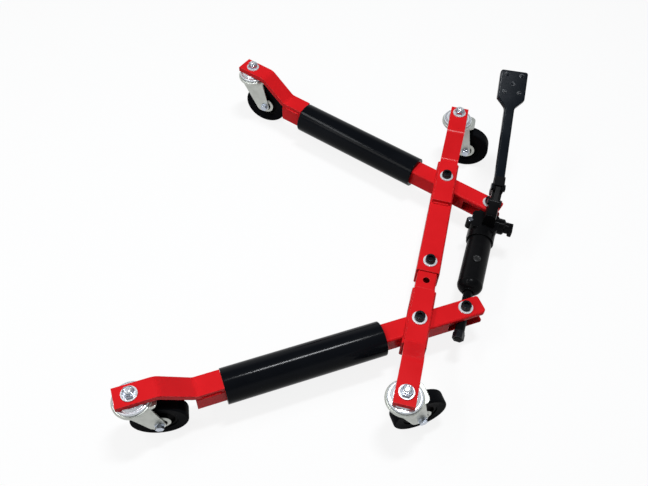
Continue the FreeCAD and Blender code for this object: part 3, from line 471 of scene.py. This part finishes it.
def thread_rows(radius, length, pitch, depth):
    """Rows of a helical ridge that stands a little proud of the shank."""
    count = max(thread_least_rows, round(length / pitch * thread_rows_per_pitch))
    inner = [radius - depth] * thread_steps
    rows = [(0.0, inner)]
    for row in range(count + 1):
        height = length * row / count
        radii = []
        for step in range(thread_steps):
            phase = (height / pitch - step / thread_steps) % 1.0
            ridge = 1 - abs(2 * phase - 1)
            radii.append(radius + depth * (thread_ridge_share * ridge + thread_root_share))
        rows.append((height, radii))
    rows.append((length, inner))
    return rows


black_oxide = metal_finish("black_oxide", deep=(0.004, 0.0045, 0.006), light=(0.009, 0.010, 0.013),
                           rubbed=(0.04, 0.042, 0.05), metallic=0.1, gloss=(0.2, 0.34),
                           grain_depth=0.00002, edge_radius=0.0006, shine=0.14)
bolt_radius = 0.006
bolt_pitch = 0.00175
bolt_thread_length = 0.0036
bolt_thread_rise = 0.0002
thread_depth = 0.0003
bolt_bodies = {"frame_bolts": "frame", "far_arm_tail_bolt": "far_arm", "near_arm_tail_bolt": "near_arm"}
for node, body in bolt_bodies.items():
    dress([node], black_oxide)
    for count, (low, high) in enumerate(separate_boxes(node)):
        middle = (low + high) / 2
        head_foot = Vector((middle.x, middle.y, high.z - head_height))
        ringed_piece(f"{node}_knurl_{count}", head_foot, upright, knurl_rows(), black_oxide,
                     body)
        thread_foot = Vector((middle.x, middle.y, low.z + bolt_thread_rise))
        turns = thread_rows(bolt_radius, bolt_thread_length, bolt_pitch, thread_depth)
        ringed_piece(f"{node}_thread_{count}", thread_foot, upright, turns, black_oxide, body)

# Washers, nuts, caster stems and upper races: stamped and turned steel in bright zinc with a cold blue
# cast, a little cloudy. The arms' bronze bushes sit round the pivot bolts.
zinc_plate = metal_finish("bright_zinc", deep=(0.60, 0.63, 0.67), light=(0.72, 0.75, 0.78),
                          rubbed=(0.84, 0.86, 0.88), metallic=0.6, gloss=(0.2, 0.34),
                          grain_depth=0.00001, edge_radius=0.0008)
dress(["frame_lock_nuts", "frame_caster_stems", "frame_upper_races"], zinc_plate)
washer_zinc = metal_finish("washer_zinc", deep=(0.66, 0.68, 0.71), light=(0.76, 0.78, 0.80),
                           rubbed=(0.84, 0.86, 0.88), metallic=0.35, gloss=(0.24, 0.38),
                           grain_depth=0.00001, edge_radius=0.0006)
dress(["frame_washers"], washer_zinc)
nut_zinc = metal_finish("nut_zinc", deep=(0.38, 0.42, 0.49), light=(0.50, 0.54, 0.61),
                        rubbed=(0.80, 0.83, 0.87), metallic=0.95, gloss=(0.14, 0.24),
                        grain_depth=0.00001, edge_radius=0.0007)
dress(["frame_stem_nuts"], nut_zinc)
bush_bronze = metal_finish("bush_bronze", deep=(0.30, 0.19, 0.09), light=(0.42, 0.28, 0.14),
                           rubbed=(0.5, 0.36, 0.2), metallic=1.0, gloss=(0.35, 0.5),
                           grain_depth=0.00002, edge_radius=0.0004)
for arm in arms:
    dress([arm + "_tail_nut", arm + "_caster_stem", arm + "_upper_race"], zinc_plate)
    dress([arm + "_washers"], washer_zinc)
    dress([arm + "_stem_nut"], nut_zinc)
    dress([arm + "_pivot_bush"], bush_bronze)

# The casters: a pressed zinc fork under a ball race, a plated axle bolt with its nut, and a black
# rubber tyre on a moulded hub. A thin zinc thread guard covers the hub on each side.
casters = ("far_frame", "near_frame", "far_arm", "near_arm")
fork_zinc = metal_finish("pressed_zinc", deep=(0.45, 0.47, 0.43), light=(0.57, 0.59, 0.55),
                         rubbed=(0.74, 0.76, 0.74), metallic=0.6, gloss=(0.28, 0.44),
                         grain_depth=0.00002, edge_radius=0.001)
tyre_rubber = coat_finish("wheel_rubber", deep=(0.0044, 0.0047, 0.0056), light=(0.0066, 0.0070, 0.0084),
                          edge_wear_and_highlight=(0.014, 0.014, 0.015), gloss=(0.34, 0.48), peel_scale=900.0,
                          peel_depth=0.00006, edge_radius=0.002, shine=0.004, drift_scale=26.0)
hub_black = coat_finish("hub_moulding", deep=(0.0035, 0.0035, 0.0038), light=(0.006, 0.006, 0.0064),
                        gloss=(0.4, 0.55), peel_scale=700.0, peel_depth=0.00005, shine=0.01,
                        drift_scale=30.0, peel_strength=0.4)
axle_radius = 0.005
axle_pitch = 0.0015
axle_thread_length = 0.0027
axle_thread_back = 0.00285
guard_bore_radius = 0.0124
guard_back_radius = 0.0186
guard_rim_radius = 0.0190
guard_seat = 0.0136
guard_dish = 0.0014
guard_thickness = 0.0007
guard_steps = 48
guard_outline = [(guard_seat + guard_dish, guard_bore_radius),
                 (guard_seat, guard_back_radius),
                 (guard_seat + guard_thickness, guard_rim_radius),
                 (guard_seat + guard_dish + guard_thickness, guard_bore_radius)]
guard_rows = [(height, [radius] * guard_steps) for height, radius in guard_outline]
for caster in casters:
    dress([caster + "_caster_fork"], fork_zinc)
    dress([caster + "_caster_axle"], nut_zinc)
    dress([caster + "_caster_tyre"], tyre_rubber)
    dress([caster + "_caster_hub"], hub_black)
    across = joint_axis[caster + "_wheel_spin"]
    centre = joint_place[caster + "_wheel_spin"]
    axle_points = [vert.co for vert in nodes[caster + "_caster_axle"].data.vertices]
    axle_end = max((point - centre).dot(across) for point in axle_points)
    thread_foot = centre + across * (axle_end - axle_thread_back)
    turns = thread_rows(axle_radius, axle_thread_length, axle_pitch, thread_depth)
    ringed_piece(caster + "_axle_thread", thread_foot, across, turns, zinc_plate, caster + "_fork")
    for side, facing in (("near", -across), ("far", across)):
        ringed_piece(f"{caster}_{side}_thread_guard", centre, facing, guard_rows, fork_zinc,
                     caster + "_wheel")

# The ram and the foot pump: iron castings and a drawn reservoir in one satin black paint, with a hard
# chrome plunger, a bright slotted screw, a rubber filler plug, and black bolts and nuts.
pump_black = coat_finish("pump_black_paint", deep=(0.0032, 0.0032, 0.0036), light=(0.006, 0.006, 0.0065),
                         edge_wear_and_highlight=(0.014, 0.014, 0.015), gloss=(0.18, 0.3), peel_scale=320.0,
                         peel_depth=0.00008, edge_radius=0.001, shine=0.032, clear=0.012)
dress(["ram_cylinder", "pump_block", "release_valve", "ram_rod"], pump_black)
chrome = metal_finish("hard_chrome", deep=(0.30, 0.30, 0.31), light=(0.42, 0.42, 0.43),
                      rubbed=(0.5, 0.5, 0.5), metallic=1.0, gloss=(0.1, 0.22),
                      grain_depth=0.000004, edge_radius=0.0005)
dress(["pump_plunger"], chrome)
# The plug's rim is painted a light grey, a painted highlight for the pale ring round it.
plug_rubber = coat_finish("plug_rubber", deep=(0.004, 0.004, 0.0045), light=(0.007, 0.007, 0.0075),
                          edge_wear_and_highlight=(0.16, 0.16, 0.165), gloss=(0.3, 0.4), peel_scale=700.0,
                          peel_depth=0.00005, edge_radius=0.0016, shine=0.3)
dress(["filler_plug"], plug_rubber)
dress(["bleed_screw"], nut_zinc)
dress(["pump_bolts", "rod_nuts"], black_oxide)

# The return spring: one oiled wire wound round the plunger between the pump head and the plunger's
# flange. The real one shortens as the pedal goes down; here it is one fixed coil on the ram.
spring_wire = metal_finish("oiled_spring_wire", deep=(0.02, 0.02, 0.021), light=(0.05, 0.05, 0.052),
                           rubbed=(0.1, 0.1, 0.1), metallic=0.9, gloss=(0.2, 0.35),
                           grain_depth=0.000006, edge_radius=0.0003)
spring_turns = 5
points_per_turn = 36
wire_sides = 14
wire_radius = 0.001
slide = joint_axis["plunger_slide"].normalized()
aside = upright.cross(slide)
wire_points = [vert.co for vert in nodes["return_spring"].data.vertices]
spans = []
for way in (aside, upright, slide):
    reaches = [point.dot(way) for point in wire_points]
    spans.append((min(reaches), max(reaches)))
(left, right), (bottom, top), (flange_end, head_end) = spans
coil_radius = (top - bottom) / 2 - wire_radius
coil_length = head_end - flange_end
head_seat = aside * ((left + right) / 2) + upright * ((bottom + top) / 2) + slide * head_end
rise = slide * (2 * wire_radius - coil_length)
coil_steps = spring_turns * points_per_turn
coil_rings = []
for step in range(coil_steps + 1):
    angle = 2 * math.pi * step / points_per_turn
    outward = aside * math.cos(angle) + upright * math.sin(angle)
    round_turn = (upright * math.cos(angle) - aside * math.sin(angle)) * coil_radius
    along = (round_turn + rise / (2 * math.pi * spring_turns)).normalized()
    middle = head_seat - slide * wire_radius + rise * (step / coil_steps)
    middle = middle + outward * coil_radius
    across = along.cross(outward)
    ring = []
    for turn in range(wire_sides):
        bend = 2 * math.pi * turn / wire_sides
        ring.append(middle + (outward * math.cos(bend) + across * math.sin(bend)) * wire_radius)
    coil_rings.append(ring)
coil = skin_rings("return_spring_coil", coil_rings, False, True, spring_wire, "ram")
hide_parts("return_spring")
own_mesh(coil)

# The pedal: a forged fork with a pressed lever and foot plate, black like the pump. The lever is glossier,
# and its studs and rims are painted light grey: partly paint rubbed by shoes, partly a painted highlight on
# the studs.
pedal_black = coat_finish("pedal_black_paint", deep=(0.0036, 0.0052, 0.0078), light=(0.0066, 0.0092, 0.0130),
                          edge_wear_and_highlight=(0.38, 0.39, 0.41), gloss=(0.14, 0.22), peel_scale=380.0,
                          peel_depth=0.00005, edge_radius=0.0024, shine=0.045, clear=0.01)
dress(["pedal_lever"], pedal_black)
fork_black = coat_finish("fork_black_paint", deep=(0.0030, 0.0032, 0.0038), light=(0.0055, 0.0058, 0.0066),
                         edge_wear_and_highlight=(0.02, 0.021, 0.023), gloss=(0.4, 0.5), peel_scale=260.0,
                         peel_depth=0.00012, edge_radius=0.001, shine=0.03)
dress(["pedal_fork"], fork_black)

# The stage: a plain white floor that keeps a faint shadow, in a pale room with a darker ceiling. Two
# soft tube lights hang overhead and on the left, and a wide fill stands in front.
floor_half = 6.0
floor_grey = (0.62, 0.62, 0.62, 1.0)
floor_roughness = 0.9
floor_glow = 1.06
floor_glow_share = 0.82
white = (1.0, 1.0, 1.0, 1.0)
room_tint = (0.97, 0.985, 1.0, 1.0)
room_light = 0.12
wall_glow = 1.0
ceiling_glow = 0.12
ceiling_begins = (0.34, 0.62)
whole_range = (0.0, 1.0)


def seen_as_backdrop(tree):
    """One where a surface is seen, straight, mirrored or through glass, and zero where it only lights."""
    path = tree.nodes.new("ShaderNodeLightPath")
    mask = path.outputs["Is Camera Ray"]
    for label in ("Is Glossy Ray", "Is Transmission Ray"):
        either = tree.nodes.new("ShaderNodeMath")
        either.operation = "MAXIMUM"
        tree.links.new(mask, either.inputs[0])
        tree.links.new(path.outputs[label], either.inputs[1])
        mask = either.outputs["Value"]
    return mask


bpy.ops.mesh.primitive_plane_add(size=2 * floor_half, location=(0, 0, 0))
floor = bpy.context.object
floor.name = "floor"
finish, tree, shader = new_finish("white_floor")
shader.inputs["Base Color"].default_value = floor_grey
shader.inputs["Roughness"].default_value = floor_roughness
glow = tree.nodes.new("ShaderNodeEmission")
glow.inputs["Color"].default_value = white
glow.inputs["Strength"].default_value = floor_glow
whole = tree.nodes.new("ShaderNodeMixShader")
glow_share = spread(tree, seen_as_backdrop(tree), whole_range, (0.0, floor_glow_share))
tree.links.new(glow_share, whole.inputs["Fac"])
tree.links.new(shader.outputs["BSDF"], whole.inputs[1])
tree.links.new(glow.outputs["Emission"], whole.inputs[2])
tree.links.new(whole.outputs["Shader"], tree.nodes["Material Output"].inputs["Surface"])
floor.data.materials.append(finish)

world = bpy.data.worlds.new("studio")
bpy.context.scene.world = world
world.use_nodes = True
tree = world.node_tree
background = tree.nodes["Background"]
background.inputs["Color"].default_value = room_tint
direction = tree.nodes.new("ShaderNodeSeparateXYZ")
tree.links.new(tree.nodes.new("ShaderNodeTexCoord").outputs["Generated"], direction.inputs["Vector"])
walls_to_ceiling = spread(tree, direction.outputs["Z"], ceiling_begins, (wall_glow, ceiling_glow))
strength = spread(tree, seen_as_backdrop(tree), whole_range, (room_light, walls_to_ceiling))
tree.links.new(strength, background.inputs["Strength"])

lamp_aim = Vector((0.0, 0.0, 0.1))
cool_white = (0.94, 0.97, 1.0)
warm_white = (1.0, 0.99, 0.97)


def soft_light(name, place, lie, size, power, colour):
    """A flat lamp aimed at the jack, its long side along a given direction."""
    lamp = bpy.data.lights.new(name, "AREA")
    lamp.shape = "RECTANGLE"
    lamp.size, lamp.size_y = size
    lamp.energy = power
    lamp.color = colour
    back = (Vector(place) - lamp_aim).normalized()
    side = (Vector(lie) - back * back.dot(Vector(lie))).normalized()
    holder = bpy.data.objects.new(name, lamp)
    holder.matrix_world = Matrix((side, back.cross(side), back)).transposed().to_4x4()
    holder.location = place
    bpy.context.scene.collection.objects.link(holder)


soft_light("overhead_tube", place=(0.16, 0.25, 2.6), lie=(0.832, 0.554, 0.0), size=(0.6, 0.2),
           power=49.0, colour=cool_white)
soft_light("left_tube", place=(-1.6, -0.3, 2.6), lie=(0.0, 1.0, 0.0), size=(1.1, 0.3),
           power=19.0, colour=cool_white)
soft_light("front_fill", place=(-1.35, -1.3, 2.0), lie=(0.7, -0.7, 0.0), size=(1.2, 0.7),
           power=12.0, colour=warm_white)

# The camera stands where the picture was taken from: in front of the jack, high, looking down on it,
# a little turned and tilted. Its place and angles fit the rollers and casters at all four corners.
camera_place = Vector((0.129409, -0.790955, 1.15135))
camera_yaw = math.radians(-11.19)
camera_dip = math.radians(52.81)
camera_roll = math.radians(3.424)
camera_farthest = 50.0
picture_width = 648
focal_pixels = 688.73
ahead = Vector((math.sin(camera_yaw) * math.cos(camera_dip), math.cos(camera_yaw) * math.cos(camera_dip),
                -math.sin(camera_dip)))
level = Vector((math.cos(camera_yaw), -math.sin(camera_yaw), 0))
upward = level.cross(ahead)
right = level * math.cos(camera_roll) + upward * math.sin(camera_roll)
up = upward * math.cos(camera_roll) - level * math.sin(camera_roll)
lens = bpy.data.cameras.new("camera")
lens.sensor_fit = "HORIZONTAL"
lens.lens = lens.sensor_width * focal_pixels / picture_width
lens.clip_end = camera_farthest
camera = bpy.data.objects.new("camera", lens)
camera.matrix_world = Matrix((right, up, -ahead)).transposed().to_4x4()
camera.location = camera_place
bpy.context.scene.collection.objects.link(camera)
bpy.context.scene.camera = camera
bpy.context.scene.view_settings.view_transform = "Standard"

bpy.context.view_layer.update()
